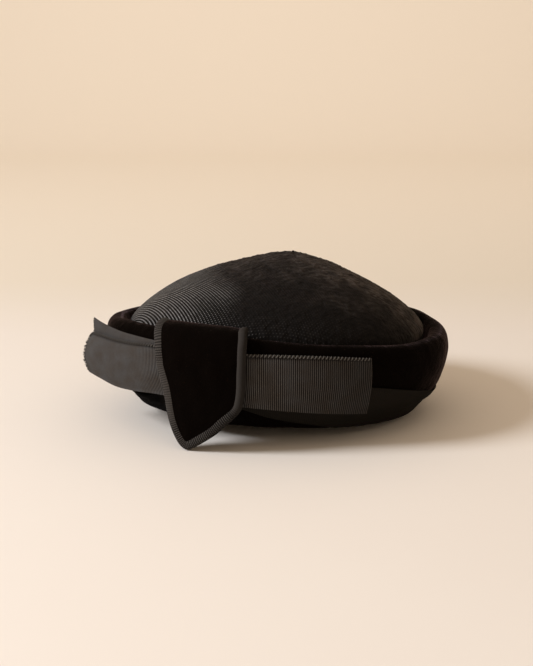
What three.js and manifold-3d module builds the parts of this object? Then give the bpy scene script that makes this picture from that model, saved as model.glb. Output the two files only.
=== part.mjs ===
// A woman's pillbox hat: a straw crown inside a turned-up velvet brim, a grosgrain band
// round the foot and, at the front, a ribbon bow under a velvet tab bound with grosgrain.
// Millimetres, +Z up, front of the hat towards -Y.  The hat stands on its own foot on a
// table.  The tip of the tab reaches below the foot, so it props the front up a little.

import * as THREE from "three";
import { mergeVertices } from "three/addons/utils/BufferGeometryUtils.js";
import Module from "manifold-3d";

const wasm = await Module();
wasm.setup();

// ---- driving dimensions ------------------------------------------------------------

const RIM_HALF_X = 109.4; // half width of the ring along the top of the brim
const RIM_HALF_Y = 105.6; // half depth of the same ring
const RIM_HEIGHT = 63.4; // height of that ring above the table, on the hat's axis
const FOOT_HEIGHT = 5.0; // height of the foot of the wall, on the hat's axis
const FOOT_SHARE = 0.85; // the foot's ring is this share of the rim's
const LEAN_X = -0.037; // the propped hat rises to the left ...
const LEAN_Y = -0.055; // ... and to the front, in mm for each mm
const WARP_SIN = 3.2; // the soft rim waves up and down by this much
const WARP_COS = -1.4;

const AROUND = 60; // steps round the hat
const WALL = 2.4; // velvet over buckram
const STRAW = 1.6; // straw cloth of the crown
const GAP = 0.3; // clearance between pieces that are sewn together

const DOME_HALF_X = 101.4; // the crown where it leaves the groove behind the brim
const DOME_HALF_Y = 97.6;
const DOME_DROP = 3.0; // that line lies this far below the rim
const DOME_RISE = 49.6; // from there up to the apex
const DOME_EDGE = 1.308; // exponents of the dome's section
const DOME_CROWN = 0.666;
const APEX_SHIFT = 8.8; // the apex sits a little to the right
const LEFT_SHOULDER = 1.6; // and the left shoulder is fuller
const APEX_TIP = 0.9; // the apex stands this far above the smallest ring
const LINING_TIP = 0.6; // and so it does on the inner face

const RIBBON = 1.0; // thickness of the grosgrain ribbon
const RIBBON_ACROSS = 4; // faces across its width
const FRONT_STATIONS = 42; // steps along the two ribbons
const BACK_STATIONS = 22;
const BAND = 1.2; // thickness of the band round the foot
const BAND_CLEAR = 1.0; // it lies this far off the curved wall

const TAB_TURN = -117; // the tab hangs over the rim at this angle round the hat
const TAB_BACK_RADIUS = 125; // how strongly the tab curves from side to side
const TAB_ACROSS = 8;
const BINDING_WIDTH = 6.2; // what shows of the grosgrain binding
const BINDING = 0.8; // its thickness
const CUT_MARGIN = 6; // a cutter stands out this far, both faces together

// ---- the hat's own surface ------------------------------------------------------------

const degrees = THREE.MathUtils.degToRad;

/** Height of the rim at an angle round the hat. */
function rimHeight(angle) {
  const x = RIM_HALF_X * Math.cos(angle);
  const y = RIM_HALF_Y * Math.sin(angle);
  return RIM_HEIGHT + LEAN_X * x + LEAN_Y * y + warp(angle);
}

function warp(angle) {
  return WARP_SIN * Math.sin(2 * angle) + WARP_COS * Math.cos(2 * angle);
}

/** Height of the foot of the wall: leaning, and pressed flat where it meets the table. */
function footHeight(angle) {
  const x = FOOT_SHARE * RIM_HALF_X * Math.cos(angle);
  const y = FOOT_SHARE * RIM_HALF_Y * Math.sin(angle);
  return Math.max(0, FOOT_HEIGHT + LEAN_X * x + LEAN_Y * y);
}

/** A row of a wall's section gives its height as a drop below the rim or a lift off the foot. */
function rowHeight(angle, row) {
  return row.drop === undefined ? footHeight(angle) + row.lift : rimHeight(angle) - row.drop;
}

/** A point `out` mm outside the rim's ring, at height z. */
function hatPoint(angle, out, z) {
  const x = (RIM_HALF_X + out) * Math.cos(angle);
  const y = (RIM_HALF_Y + out) * Math.sin(angle);
  return new THREE.Vector3(x, y, z);
}

// ---- mesh builders --------------------------------------------------------------------

/** Turns a list of points and triangles into a closed geometry with its faces outward. */
function closedGeometry(points, triangles) {
  const volume = triangles.reduce((sum, [a, b, c]) => {
    const across = new THREE.Vector3().crossVectors(points[b], points[c]);
    return sum + points[a].dot(across);
  }, 0);
  const facing = volume > 0 ? triangles : triangles.map(([a, b, c]) => [a, c, b]);
  const geometry = new THREE.BufferGeometry().setFromPoints(points);
  geometry.setIndex(facing.flat());
  return geometry;
}

/** Rings of equal length joined one to the next; a one-point ring closes an end. */
function ringsGeometry(rings, closed) {
  const points = rings.flat();
  const starts = [];
  let count = 0;
  for (const ring of rings) {
    starts.push(count);
    count += ring.length;
  }
  const triangles = [];
  const pairs = closed ? rings.length : rings.length - 1;
  for (let i = 0; i < pairs; i++) {
    const j = (i + 1) % rings.length;
    const around = Math.max(rings[i].length, rings[j].length);
    for (let k = 0; k < around; k++) {
      const next = (k + 1) % around;
      const a = starts[i] + (k % rings[i].length);
      const b = starts[i] + (next % rings[i].length);
      const c = starts[j] + (k % rings[j].length);
      const d = starts[j] + (next % rings[j].length);
      if (a !== b) triangles.push([a, b, c]);
      if (c !== d) triangles.push([b, d, c]);
    }
  }
  return closedGeometry(points, triangles);
}

/** A thick sheet between two grids of points with the same rows and columns. */
function slabGeometry(front, back) {
  const rows = front.length;
  const columns = front[0].length;
  const points = [...front.flat(), ...back.flat()];
  const offset = rows * columns;
  const triangles = [];
  const quad = (a, b, c, d) => triangles.push([a, b, c], [a, c, d]);
  const at = (i, j) => i * columns + j;
  for (let i = 0; i < rows - 1; i++) {
    for (let j = 0; j < columns - 1; j++) {
      const corners = [at(i, j), at(i + 1, j), at(i + 1, j + 1), at(i, j + 1)];
      quad(...corners);
      quad(...corners.map((corner) => corner + offset).reverse());
    }
  }
  const border = [];
  for (let j = 0; j < columns - 1; j++) border.push(at(0, j));
  for (let i = 0; i < rows - 1; i++) border.push(at(i, columns - 1));
  for (let j = columns - 1; j > 0; j--) border.push(at(rows - 1, j));
  for (let i = rows - 1; i > 0; i--) border.push(at(i, 0));
  border.forEach((a, k) => {
    const b = border[(k + 1) % border.length];
    quad(a, b, b + offset, a + offset);
  });
  return closedGeometry(points, triangles);
}

/** The angles of the steps round the hat. */
function turnSteps() {
  return Array.from({ length: AROUND }, (_, k) => (2 * Math.PI * k) / AROUND);
}

/** A named piece with the look of its material. */
function piece(name, geometry, look) {
  const mesh = new THREE.Mesh(geometry, new THREE.MeshStandardMaterial({ metalness: 0, ...look }));
  mesh.name = name;
  return mesh;
}

const STRAW_CLOTH = { color: 0x37322e, roughness: 0.85 };
const VELVET = { color: 0x120c0b, roughness: 1.0 };
const GROSGRAIN = { color: 0x4a4440, roughness: 0.8 };
const GROSGRAIN_DARK = { color: 0x26211d, roughness: 0.9 };

// ---- crown ------------------------------------------------------------------------------

/** A ring of the dome's outer or inner face, from the apex (reach 0) to the groove (1). */
function domeRing(reach, inset) {
  const body = Math.max(1 - reach ** DOME_EDGE, 0) ** DOME_CROWN;
  const shoulder = LEFT_SHOULDER * 4 * reach ** 2 * (1 - reach ** 2);
  return turnSteps().map((angle) => {
    const x = (DOME_HALF_X - inset) * reach * Math.cos(angle);
    const y = (DOME_HALF_Y - inset) * reach * Math.sin(angle);
    const base = RIM_HEIGHT - DOME_DROP + LEAN_X * x + LEAN_Y * y + warp(angle) * reach ** 4;
    const z = base + (DOME_RISE - inset) * body - shoulder * Math.cos(angle);
    return new THREE.Vector3(x + APEX_SHIFT * body, y, z);
  });
}

/** The straw crown: a dome, and a side that goes down inside the brim to the head opening. */
function crown() {
  const outerReach = [0.1, 0.24, 0.4, 0.56, 0.72, 0.86, 0.95, 1];
  const innerReach = [1, 0.9, 0.74, 0.56, 0.36, 0.16];
  const side = [
    { out: -8.4, drop: 14 },
    { out: -11.5, drop: 30 },
    { out: -15.6, lift: 12 },
    { out: -17.35, lift: 0.8 },
  ];
  const sideRing = (row, inset) =>
    turnSteps().map((angle) => hatPoint(angle, row.out - inset, rowHeight(angle, row)));
  const outerApex = centre(domeRing(outerReach[0], 0), APEX_TIP);
  const innerApex = centre(domeRing(innerReach.at(-1), STRAW), LINING_TIP);
  return ringsGeometry(
    [
      [outerApex],
      ...outerReach.map((reach) => domeRing(reach, 0)),
      ...side.map((row) => sideRing(row, 0)),
      ...side.toReversed().map((row) => sideRing(row, STRAW)),
      ...innerReach.map((reach) => domeRing(reach, STRAW)),
      [innerApex],
    ],
    false,
  );
}

/** The middle of a ring, raised a little. */
function centre(ring, raise) {
  const sum = ring.reduce((total, point) => total.add(point), new THREE.Vector3());
  return sum.divideScalar(ring.length).add(new THREE.Vector3(0, 0, raise));
}

// ---- brim -------------------------------------------------------------------------------

// The outer face of the brim, from the rolled lip down the bowl-shaped wall to the foot.
const WALL_ROWS = [
  { out: 0, drop: 0 },
  { out: 3.6, drop: 0.6 },
  { out: 7.4, drop: 4.2 },
  { out: 9.0, drop: 10.5 },
  { out: 7.9, drop: 21 },
  { out: 5.6, drop: 29 },
  { out: 2.6, drop: 36 },
  { out: -2.4, drop: 42 },
  { out: -7.4, lift: 9 },
  { out: -12.4, lift: 3.2 },
  { out: -15.0, lift: 0 },
];

const WALL_BOWL = 3; // the wall under the lip starts at this row

// Its inner face, from the foot up, over inside the lip and down behind the groove's edge.
const LINING_ROWS = [
  { out: -15.0 - WALL, lift: 0 },
  { out: -12.6 - WALL, lift: 5 },
  { out: -5.4, drop: 41 },
  { out: 2.2, drop: 29.6 },
  { out: 5.4, drop: 20.6 },
  { out: 6.5, drop: 11 },
  { out: 4.2, drop: 5 },
  { out: 1.0, drop: 3 },
  { out: -1.6, drop: 6 },
  { out: -2.1, drop: 15 },
  { out: -4.5, drop: 15 },
  { out: -4.4, drop: 5 },
  { out: -2.6, drop: 1.2 },
];

/** The velvet brim, turned up all round and rolled at the lip. */
function brim() {
  const rings = [...WALL_ROWS, ...LINING_ROWS].map((row) =>
    turnSteps().map((angle) => hatPoint(angle, row.out, rowHeight(angle, row))),
  );
  return ringsGeometry(rings, true);
}

/** How far the wall stands outside the rim's ring, at a height. */
function wallOut(angle, z) {
  const rows = WALL_ROWS.slice(WALL_BOWL).map((row) => ({ out: row.out, z: rowHeight(angle, row) }));
  const below = rows.findIndex((row) => row.z <= z);
  if (below < 0) return rows.at(-1).out;
  if (below === 0) return rows[0].out;
  const upper = rows[below - 1];
  const lower = rows[below];
  return THREE.MathUtils.mapLinear(z, lower.z, upper.z, lower.out, upper.out);
}

// ---- band round the foot ------------------------------------------------------------------

// Its top edge drops below the rim, and its lower edge lifts off the foot where the band is
// drawn up narrow towards the bow.
const BAND_ROWS = [
  { turn: -180, drop: 45, lift: 0 },
  { turn: -160, drop: 49, lift: 0 },
  { turn: -148, drop: 50, lift: 1 },
  { turn: -137, drop: 45, lift: 3 },
  { turn: -127, drop: 37, lift: 9 },
  { turn: -117, drop: 31, lift: 15 },
  { turn: -104, drop: 29, lift: 14.5 },
  { turn: -94, drop: 27, lift: 9 },
  { turn: -85, drop: 26, lift: 5.5 },
  { turn: -77, drop: 25.5, lift: 3 },
  { turn: -68, drop: 25, lift: 0 },
  { turn: -57, drop: 26, lift: 0 },
  { turn: -44, drop: 29.5, lift: 0 },
  { turn: -31, drop: 33.7, lift: 0 },
  { turn: -14, drop: 38.5, lift: 0 },
  { turn: 20, drop: 40, lift: 0 },
  { turn: 100, drop: 42, lift: 0 },
  { turn: 180, drop: 45, lift: 0 },
];
const BAND_FACES = 4;

/** Reads a table's columns at an angle, along smooth curves through its rows. */
function tableAt(rows, turn) {
  const after = Math.max(1, rows.findIndex((row) => row.turn >= turn));
  const [from, to] = [rows[after - 1], rows[after]];
  const part = THREE.MathUtils.smoothstep(turn, from.turn, to.turn);
  const straight = THREE.MathUtils.inverseLerp(from.turn, to.turn, turn);
  const blend = (part + straight) / 2;
  const mixed = {};
  for (const key of Object.keys(from)) {
    mixed[key] = THREE.MathUtils.lerp(from[key], to[key], blend);
  }
  return mixed;
}

/** The grosgrain band that covers the foot of the wall. */
function baseBand() {
  const ring = (part, stand) =>
    turnSteps().map((angle) => {
      const turn = THREE.MathUtils.radToDeg(angle > Math.PI ? angle - 2 * Math.PI : angle);
      const row = tableAt(BAND_ROWS, turn);
      const top = rimHeight(angle) - row.drop;
      const foot = footHeight(angle) + row.lift;
      const z = THREE.MathUtils.lerp(top, foot, part);
      return hatPoint(angle, wallOut(angle, z) + stand, z);
    });
  const parts = Array.from({ length: BAND_FACES + 1 }, (_, k) => k / BAND_FACES);
  return ringsGeometry(
    [
      ...parts.map((part) => ring(part, BAND_CLEAR + BAND)),
      ...parts.toReversed().map((part) => ring(part, BAND_CLEAR)),
    ],
    true,
  );
}

// ---- bow ribbons ----------------------------------------------------------------------------

// Stations along a ribbon: where its two edges lie outside the rim's ring and below the rim,
// and how far its middle bows out between them.
const FRONT_RIBBON = [
  { turn: -166.5, topOut: 22.0, footOut: 23.0, top: 8.0, foot: 37.5, bow: 4.5 },
  { turn: -158, topOut: 19.2, footOut: 19.4, top: 8.1, foot: 39.0, bow: 3.0 },
  { turn: -150, topOut: 15.8, footOut: 15.0, top: 9.4, foot: 42.4, bow: 2.2 },
  { turn: -142, topOut: 12.9, footOut: 11.0, top: 10.0, foot: 43.4, bow: 1.8 },
  { turn: -134, topOut: 11.7, footOut: 7.8, top: 9.2, foot: 43.2, bow: 2.0 },
  { turn: -126, topOut: 11.8, footOut: 6.4, top: 8.9, foot: 43.4, bow: 2.4 },
  { turn: -117, topOut: 11.7, footOut: 6.3, top: 8.5, foot: 43.5, bow: 2.8 },
  { turn: -104, topOut: 11.5, footOut: 6.2, top: 7.9, foot: 43.4, bow: 2.8 },
  { turn: -90, topOut: 10.6, footOut: 5.2, top: 6.1, foot: 43.6, bow: 2.8 },
  { turn: -75, topOut: 10.4, footOut: 5.2, top: 5.0, foot: 43.6, bow: 2.8 },
  { turn: -60.5, topOut: 10.4, footOut: 5.2, top: 5.6, foot: 43.4, bow: 2.8 },
];

const BACK_RIBBON = [
  { turn: -163.5, topOut: 19.0, footOut: 18.2, top: -3.0, foot: 33.5, bow: 1.0 },
  { turn: -156, topOut: 15.8, footOut: 15.2, top: 0.2, foot: 36.5, bow: 1.0 },
  { turn: -148, topOut: 12.9, footOut: 12.0, top: 2.9, foot: 39.2, bow: 1.2 },
  { turn: -140, topOut: 10.9, footOut: 8.6, top: 4.4, foot: 40.8, bow: 1.4 },
  { turn: -132, topOut: 10.2, footOut: 5.6, top: 5.8, foot: 42.0, bow: 2.2 },
  { turn: -117, topOut: 10.3, footOut: 4.8, top: 6.2, foot: 42.4, bow: 2.8 },
  { turn: -106, topOut: 10.2, footOut: 4.8, top: 6.4, foot: 42.4, bow: 2.8 },
];

/** A grosgrain ribbon standing on edge round the front of the brim. */
function ribbon(rows, stations) {
  const grid = (stand) =>
    Array.from({ length: stations + 1 }, (_, i) => {
      const turn = THREE.MathUtils.lerp(rows[0].turn, rows.at(-1).turn, i / stations);
      const row = tableAt(rows, turn);
      return Array.from({ length: RIBBON_ACROSS + 1 }, (_, j) => {
        const part = j / RIBBON_ACROSS;
        const bow = row.bow * Math.sin(Math.PI * part);
        const out = THREE.MathUtils.lerp(row.topOut, row.footOut, part) + bow + stand;
        const z = rimHeight(degrees(turn)) - THREE.MathUtils.lerp(row.top, row.foot, part);
        return hatPoint(degrees(turn), out, z);
      });
    });
  return slabGeometry(grid(0), grid(-RIBBON));
}

// ---- tab and its binding ---------------------------------------------------------------------

// The middle of the tab's thickness, from its end in the groove, over the lip, to its tip.
const TAB_ROWS = [
  { out: -6.7, rise: -2.0, thick: 1.2 },
  { out: -6.1, rise: 1.0, thick: 1.6 },
  { out: -3.8, rise: 2.8, thick: 2.4 },
  { out: 0.8, rise: 3.3, thick: 2.8 },
  { out: 7.0, rise: 2.3, thick: 2.8 },
  { out: 12.2, rise: -1.6, thick: 2.8 },
  { out: 15.1, rise: -8, thick: 2.8 },
  { out: 15.9, rise: -17, thick: 2.8 },
  { out: 15.9, rise: -30, thick: 2.8 },
  { out: 15.8, rise: -44, thick: 2.8 },
];
const TAB_LEAD = 2; // a cut through its end starts this far behind it
const TAB_TIP_OUT = 15.6;
const TAB_TIP_FLOOR = 0.24;

// Its outline, laid flat: how far to the side its edges lie, at a distance along it from the
// end in the groove.
const TAB_LEFT_EDGE = [
  { along: -6, side: -34.4 },
  { along: 8, side: -33.4 },
  { along: 20, side: -31.8 },
  { along: 28.5, side: -28.5 },
  { along: 36.3, side: -26.9 },
  { along: 44.3, side: -25.6 },
  { along: 50.5, side: -23.5 },
  { along: 57.5, side: -21.1 },
  { along: 64, side: -19.7 },
  { along: 72, side: -18.3 },
  { along: 79.2, side: -16.4 },
  { along: 84.7, side: -14.1 },
  { along: 90.1, side: -11 },
  { along: 94.1, side: -7.8 },
  { along: 96, side: -5 },
];
const TAB_RIGHT_EDGE = [
  { along: -6, side: 24.5 },
  { along: 6, side: 29 },
  { along: 12.3, side: 31.2 },
  { along: 21.7, side: 35 },
  { along: 29.9, side: 36.2 },
  { along: 45.8, side: 36.1 },
  { along: 53.9, side: 35.8 },
  { along: 60.4, side: 35 },
  { along: 66.1, side: 33.5 },
  { along: 69.5, side: 31.4 },
  { along: 73.1, side: 28 },
  { along: 77.6, side: 23.3 },
  { along: 83, side: 17.9 },
  { along: 86.8, side: 12.9 },
  { along: 90.8, side: 6.9 },
  { along: 93.9, side: 2 },
  { along: 96, side: -1.6 },
];
const TAB_LOWER_ROWS = [-23, -37, -48, -51.5, -55, -59, -62.5, -65.5, -68]; // rises of extra rows
const TAB_TIP_WIDTH = 3.4;
const LEVEL_STEP = 0.05;

const TAB_ANGLE = degrees(TAB_TURN);
const TAB_OUTWARD = new THREE.Vector3(Math.cos(TAB_ANGLE), Math.sin(TAB_ANGLE), 0);
const TAB_SIDEWAYS = new THREE.Vector3(-Math.sin(TAB_ANGLE), Math.cos(TAB_ANGLE), 0);
const TAB_RIM = rimHeight(TAB_ANGLE);
const TIP_RISE = TAB_TIP_FLOOR - TAB_RIM;

/** A row of the tab between two others, at a rise. */
function rowBetween(from, to, rise) {
  const out = THREE.MathUtils.mapLinear(rise, from.rise, to.rise, from.out, to.out);
  return { out, rise, thick: from.thick };
}

/** The tab's rows with their distance along it, finer where its outline curves. */
function tabSection() {
  const tip = { out: TAB_TIP_OUT, rise: TIP_RISE, thick: TAB_ROWS.at(-1).thick };
  const rows = [...TAB_ROWS, tip];
  for (const rise of TAB_LOWER_ROWS) {
    const after = rows.findLastIndex((row) => row.rise > rise) + 1;
    rows.splice(after, 0, rowBetween(rows[after - 1], rows[after], rise));
  }
  let along = 0;
  return rows.map((row, i) => {
    const before = rows[Math.max(i - 1, 0)];
    along += Math.hypot(row.out - before.out, row.rise - before.rise);
    return { ...row, along };
  });
}

const TAB_SECTION = tabSection();
const TAB_LENGTH = TAB_SECTION.at(-1).along;

/** An edge of the outline, drawn in by `inset`; `inward` is 1 for the left edge, -1 for the right. */
function insetEdge(edge, inset, inward) {
  return edge.map((point, i) => {
    const before = edge[Math.max(i - 1, 0)];
    const after = edge[Math.min(i + 1, edge.length - 1)];
    const run = new THREE.Vector2(after.along - before.along, after.side - before.side).normalize();
    return { along: point.along - inward * run.y * inset, side: point.side + inward * run.x * inset };
  });
}

/** Reads an edge at a distance along the tab. */
function edgeAt(edge, along) {
  const found = edge.findIndex((point) => point.along >= along);
  const after = found < 0 ? edge.length - 1 : Math.max(1, found);
  const [from, to] = [edge[after - 1], edge[after]];
  return THREE.MathUtils.mapLinear(along, from.along, to.along, from.side, to.side);
}

/** A plate in the shape of the tab, drawn in by `inset` and `extra` mm thicker in all. */
function tabPlate(inset, extra, lead = 0) {
  const leftEdge = insetEdge(TAB_LEFT_EDGE, inset, 1);
  const rightEdge = insetEdge(TAB_RIGHT_EDGE, inset, -1);
  const width = (along) => edgeAt(rightEdge, along) - edgeAt(leftEdge, along);
  let lowest = TAB_LENGTH - inset;
  while (width(lowest) < TAB_TIP_WIDTH) lowest -= LEVEL_STEP;
  const rows = TAB_SECTION.filter((row) => row.along < lowest - 1);
  const next = TAB_SECTION[rows.length];
  const last = rows.at(-1);
  const part = (lowest - last.along) / (next.along - last.along);
  const rise = THREE.MathUtils.lerp(last.rise, next.rise, part);
  rows.push({ ...rowBetween(last, next, rise), along: lowest });
  if (lead) {
    rows.unshift({ ...rows[0], rise: rows[0].rise - lead, along: -lead });
  }
  const grid = (side) =>
    rows.map((row, i) => {
      const before = rows[Math.max(i - 1, 0)];
      const after = rows[Math.min(i + 1, rows.length - 1)];
      const along = new THREE.Vector2(after.out - before.out, after.rise - before.rise).normalize();
      const half = (side * (row.thick + extra)) / 2;
      const out = row.out - along.y * half;
      const z = TAB_RIM + row.rise + along.x * half;
      const left = edgeAt(leftEdge, row.along);
      const right = edgeAt(rightEdge, row.along);
      return Array.from({ length: TAB_ACROSS + 1 }, (_, j) => {
        const s = THREE.MathUtils.lerp(left, right, j / TAB_ACROSS);
        const radius = hatPoint(TAB_ANGLE, out, 0).length() - s ** 2 / (2 * TAB_BACK_RADIUS);
        const point = TAB_OUTWARD.clone().multiplyScalar(radius);
        return point.addScaledVector(TAB_SIDEWAYS, s).setZ(z);
      });
    });
  return slabGeometry(grid(1), grid(-1));
}

/** Makes a solid of a closed geometry, for cutting. */
function solid(geometry) {
  const plain = geometry.clone();
  plain.deleteAttribute("normal");
  plain.deleteAttribute("uv");
  const merged = mergeVertices(plain);
  const vertProperties = new Float32Array(merged.attributes.position.array);
  const triVerts = new Uint32Array(merged.index.array);
  return new wasm.Manifold(new wasm.Mesh({ numProp: 3, vertProperties, triVerts }));
}

/** Turns a cut solid back into a geometry. */
function geometryOf(cut) {
  const mesh = cut.getMesh();
  const geometry = new THREE.BufferGeometry();
  geometry.setAttribute("position", new THREE.BufferAttribute(mesh.vertProperties, 3));
  geometry.setIndex(new THREE.BufferAttribute(mesh.triVerts, 1));
  return geometry;
}

/** The grosgrain binding: a fold of ribbon round the tab's left, lower and right edges. */
function tabBinding() {
  const outside = solid(tabPlate(0, 2 * (GAP + BINDING)));
  const slot = solid(tabPlate(BINDING, 2 * GAP, TAB_LEAD));
  const window = solid(tabPlate(BINDING_WIDTH, CUT_MARGIN, TAB_LEAD));
  const cut = outside.subtract(slot).subtract(window).decompose();
  const largest = cut.reduce((best, part) => (part.volume() > best.volume() ? part : best));
  return geometryOf(largest);
}

// ---- the hat ------------------------------------------------------------------------------

const hat = new THREE.Group();
hat.add(piece("crown", crown(), STRAW_CLOTH));
hat.add(piece("brim", brim(), VELVET));
hat.add(piece("base_band", baseBand(), GROSGRAIN_DARK));
hat.add(piece("bow_ribbon_front", ribbon(FRONT_RIBBON, FRONT_STATIONS), GROSGRAIN));
hat.add(piece("bow_ribbon_back", ribbon(BACK_RIBBON, BACK_STATIONS), GROSGRAIN));
hat.add(piece("bow_tab", tabPlate(BINDING + GAP, 0), VELVET));
hat.add(piece("tab_binding", tabBinding(), GROSGRAIN));

// The origin is the middle of the hat's box, on the table.
const box = new THREE.Box3().setFromObject(hat);
const middle = box.getCenter(new THREE.Vector3());
hat.position.set(-middle.x, -middle.y, -box.min.z);

export default hat;
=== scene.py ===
"""A woman's pillbox hat: a straw crown inside a turned-up velvet brim, a grosgrain band round
its foot and a ribbon bow under a velvet tab that is bound with grosgrain.

Lengths in the tables are millimetres.  An angle round the hat is 0 at +X and -90 at the front.
"""

import math

import bmesh
import bpy
import numpy as np
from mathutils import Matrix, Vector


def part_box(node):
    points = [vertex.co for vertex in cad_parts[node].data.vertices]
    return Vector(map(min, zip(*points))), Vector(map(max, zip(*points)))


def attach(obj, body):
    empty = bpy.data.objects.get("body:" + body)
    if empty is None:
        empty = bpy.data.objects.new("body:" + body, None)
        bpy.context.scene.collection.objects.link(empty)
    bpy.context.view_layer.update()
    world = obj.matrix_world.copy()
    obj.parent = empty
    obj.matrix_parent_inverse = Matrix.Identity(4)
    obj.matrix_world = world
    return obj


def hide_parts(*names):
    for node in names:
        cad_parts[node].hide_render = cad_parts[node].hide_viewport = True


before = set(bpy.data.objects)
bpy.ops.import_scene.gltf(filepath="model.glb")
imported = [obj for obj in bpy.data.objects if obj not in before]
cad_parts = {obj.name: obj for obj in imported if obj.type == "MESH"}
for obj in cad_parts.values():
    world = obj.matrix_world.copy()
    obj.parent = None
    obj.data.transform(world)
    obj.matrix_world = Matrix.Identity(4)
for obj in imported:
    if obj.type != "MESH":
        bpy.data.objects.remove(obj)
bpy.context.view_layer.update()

MM = 0.001

# ---- the hat's measures, as in its CAD ---------------------------------------------------

RIM_HALF_X, RIM_HALF_Y = 109.4, 105.6  # the ring along the top of the brim
RIM_HEIGHT, FOOT_HEIGHT = 63.4, 5.0  # of the two rings, at the hat's axis
LEAN_X, LEAN_Y = -0.037, -0.055  # the propped hat rises to the left and to the front
FOOT_SHARE = 0.85  # the foot's ring is this share of the rim's
WARP_SIN, WARP_COS = 3.2, -1.4  # the rim rises and dips twice in a turn

DOME_HALF_X, DOME_HALF_Y = 101.4, 97.6  # the ring that the dome stands on
DOME_DROP, DOME_RISE = 3.0, 49.6  # that ring below the rim, and the dome's height over it
DOME_POINT, DOME_SIDE = 1.308, 0.666  # powers: how pointed its top is, and how steep its side
APEX_SHIFT, LEFT_SHOULDER = 8.8, 1.6  # its top stands to the right, and its left is fuller
STRAW = 1.6  # thickness of the crown's straw wall

# Rows of a section: how far outside the rim's ring, and the drop below it or lift off the foot.
# The first is the crown's side, under its dome.
CROWN_SIDE = [(-8.4, "drop", 14), (-11.5, "drop", 30), (-15.6, "lift", 12), (-17.35, "lift", 0.8)]

# The brim's outer face, from its lip down to its foot.
WALL_ROWS = [
    (0, "drop", 0),
    (3.6, "drop", 0.6),
    (7.4, "drop", 4.2),
    (9.0, "drop", 10.5),
    (7.9, "drop", 21),
    (5.6, "drop", 29),
    (2.6, "drop", 36),
    (-2.4, "drop", 42),
    (-7.4, "lift", 9),
    (-12.4, "lift", 3.2),
    (-15.0, "lift", 0),
]

# Its inner face, from the foot up to the lip, which is rolled in.
LINING_ROWS = [
    (-17.4, "lift", 0),
    (-15.0, "lift", 5),
    (-5.4, "drop", 41),
    (2.2, "drop", 29.6),
    (5.4, "drop", 20.6),
    (6.5, "drop", 11),
    (4.2, "drop", 5),
    (1.0, "drop", 3),
    (-1.6, "drop", 6),
    (-2.1, "drop", 15),
    (-4.5, "drop", 15),
    (-4.4, "drop", 5),
    (-2.6, "drop", 1.2),
]

# The foot band: at an angle, its top edge's drop below the rim and its lower edge's lift.
BAND_ROWS = [
    (-180, 45, 0),
    (-160, 49, 0),
    (-148, 50, 1),
    (-137, 45, 3),
    (-127, 37, 9),
    (-117, 31, 15),
    (-104, 29, 14.5),
    (-94, 27, 9),
    (-85, 26, 5.5),
    (-77, 25.5, 3),
    (-68, 25, 0),
    (-57, 26, 0),
    (-44, 29.5, 0),
    (-31, 33.7, 0),
    (-14, 38.5, 0),
    (20, 40, 0),
    (100, 42, 0),
    (180, 45, 0),
]
BAND, BAND_CLEAR = 1.2, 1.0  # its thickness, and its distance from the brim's wall

# A bow ribbon: at an angle, how far its top and foot edges lie outside the rim's ring, how far
# they lie below it, and how far the middle bows out between them.
FRONT_RIBBON = [
    (-166.5, 21.2, 22.4, 11.2, 37.5, 4.0),
    (-163, 20.4, 21.2, 8.4, 38.0, 3.6),
    (-158, 19.2, 19.4, 8.1, 39.0, 3.0),
    (-150, 15.8, 15.0, 9.4, 42.4, 2.2),
    (-142, 12.9, 11.0, 10.0, 43.4, 1.8),
    (-134, 11.7, 7.8, 9.2, 43.2, 2.0),
    (-126, 11.8, 6.4, 8.9, 43.4, 2.4),
    (-117, 11.7, 6.3, 8.5, 43.5, 2.8),
    (-104, 11.5, 6.2, 7.9, 43.4, 2.8),
    (-90, 10.6, 5.2, 6.1, 43.6, 2.8),
    (-75, 10.4, 5.2, 5.0, 43.6, 2.8),
    (-60.5, 10.4, 5.2, 5.6, 43.4, 2.8),
]
BACK_RIBBON = [
    (-164.5, 19.4, 18.6, -1.4, 35.0, 1.0),
    (-156, 15.8, 15.2, 1.9, 38.0, 1.0),
    (-148, 12.9, 12.0, 4.5, 40.7, 1.2),
    (-140, 10.9, 8.6, 5.9, 42.0, 1.4),
    (-132, 10.2, 5.6, 6.7, 42.6, 2.2),
    (-117, 10.3, 4.8, 6.8, 42.8, 2.8),
    (-106, 10.2, 4.8, 6.8, 42.8, 2.8),
]

# The tab's section, from its end in the groove, over the lip, to its tip: how far outside the
# rim's ring, how far above it, and how thick.
TAB_ROWS = [
    (-6.7, -2.0, 1.2),
    (-6.1, 1.0, 1.6),
    (-3.8, 2.8, 2.4),
    (0.8, 3.3, 2.8),
    (7.0, 2.3, 2.8),
    (12.2, -1.6, 2.8),
    (15.1, -8, 2.8),
    (15.9, -17, 2.8),
    (15.9, -30, 2.8),
    (15.8, -44, 2.8),
]
TAB_TURN, TAB_BACK_RADIUS = -117, 125  # the angle it hangs at, and the radius it bends round
TAB_TIP_OUT, TAB_TIP_FLOOR = 15.6, 0.24  # its tip: outside the ring, and off the table

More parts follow.
